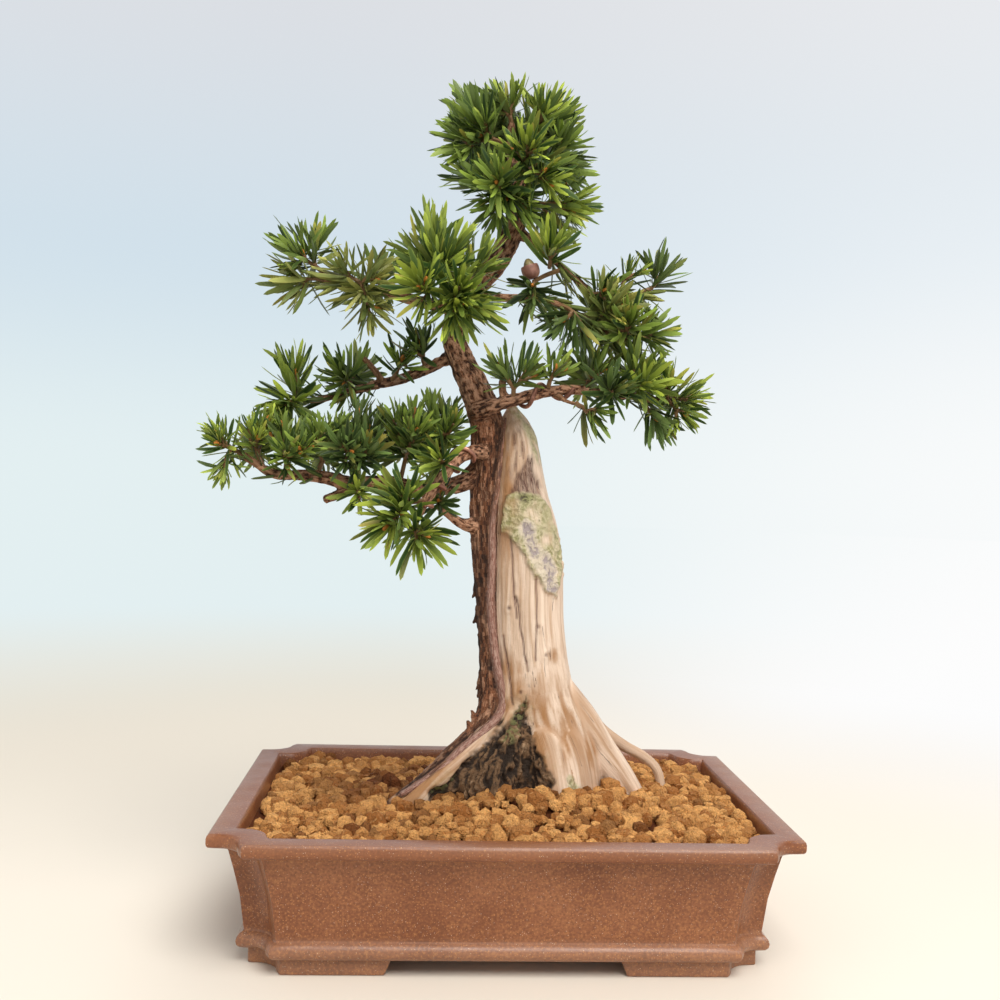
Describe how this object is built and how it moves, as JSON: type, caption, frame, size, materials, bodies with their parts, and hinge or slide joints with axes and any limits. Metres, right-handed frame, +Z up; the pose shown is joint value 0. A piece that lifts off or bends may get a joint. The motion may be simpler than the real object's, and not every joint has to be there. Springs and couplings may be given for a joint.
{
  "type": "japanese yew bonsai",
  "caption": "Japanese yew bonsai with a bleached deadwood trunk beside a live bark strip, in a footed rectangular clay tray of granular soil.",
  "frame": {"origin": "on the surface that the tray stands on, under the middle of the whole tree's bounding box, 10 mm left of the tray's middle", "axes": "+Z up, +X to the viewer's right along the tray's long side, +Y away from the viewer"},
  "size_m": [0.3197, 0.2264, 0.4831],
  "materials": {
    "clay": "unglazed, satin, fine pale speckles",
    "mesh": "plain",
    "soil": "rough baked clay granules",
    "deadwood": "bleached, dry, cracked along the grain",
    "bark": "flaking reddish bark",
    "wire": "copper-brown anodised",
    "seed_cup": "fleshy, half gloss",
    "seed": "smooth",
    "needles_bright": "waxy young needles",
    "needles_mid": "waxy needles",
    "needles_dark": "waxy old needles",
    "needles_olive": "waxy yellowing needles"
  },
  "bodies": {
    "root": {"pot": "clay", "drain_screen_left": "mesh", "drain_screen_right": "mesh", "soil": "soil", "deadwood": "deadwood", "live_wood": "bark", "wire_left": "wire", "wire_right": "wire", "seed_cup": "seed_cup", "seed": "seed", "spray_head_top": "needles_bright", "spray_head_top_right": "needles_bright", "spray_head_face": "needles_bright", "spray_head_left_top": "needles_mid", "spray_head_left_low": "needles_mid", "spray_head_right": "needles_mid", "spray_head_right_low": "needles_bright", "spray_head_back": "needles_dark", "spray_head_back_low": "needles_dark", "spray_front_top": "needles_bright", "spray_front_face_left": "needles_bright", "spray_front_face_right": "needles_bright", "spray_front_right_top": "needles_bright", "spray_left_upper_tip": "needles_olive", "spray_left_upper_pair": "needles_mid", "spray_left_upper_middle": "needles_olive", "spray_left_upper_back": "needles_mid", "spray_left_middle_tip": "needles_bright", "spray_left_middle_two": "needles_mid", "spray_left_middle_three": "needles_mid", "spray_left_middle_four": "needles_dark", "spray_pad_tip": "needles_bright", "spray_pad_one": "needles_bright", "spray_pad_two": "needles_mid", "spray_pad_three": "needles_mid", "spray_pad_four": "needles_dark", "spray_pad_five": "needles_mid", "spray_pad_six": "needles_mid", "spray_pad_wire": "needles_bright", "spray_pad_under": "needles_bright", "spray_low_face": "needles_bright", "spray_low_face_left": "needles_bright", "spray_low_inner": "needles_dark", "spray_seed_face": "needles_bright", "spray_seed_low": "needles_dark", "spray_right_hang": "needles_dark", "spray_right_top": "needles_mid", "spray_right_olive": "needles_olive", "spray_right_bud": "needles_bright", "spray_right_tip": "needles_dark", "spray_right_end": "needles_mid", "spray_low_right_one": "needles_mid", "spray_low_right_three": "needles_mid", "spray_low_right_four": "needles_mid", "spray_low_right_face": "needles_dark", "spray_low_right_tall": "needles_bright", "spray_low_right_end": "needles_bright", "spray_low_right_hang": "needles_dark", "spray_low_right_droop": "needles_mid", "spray_low_right_back": "needles_dark"}
  },
  "joints": []
}
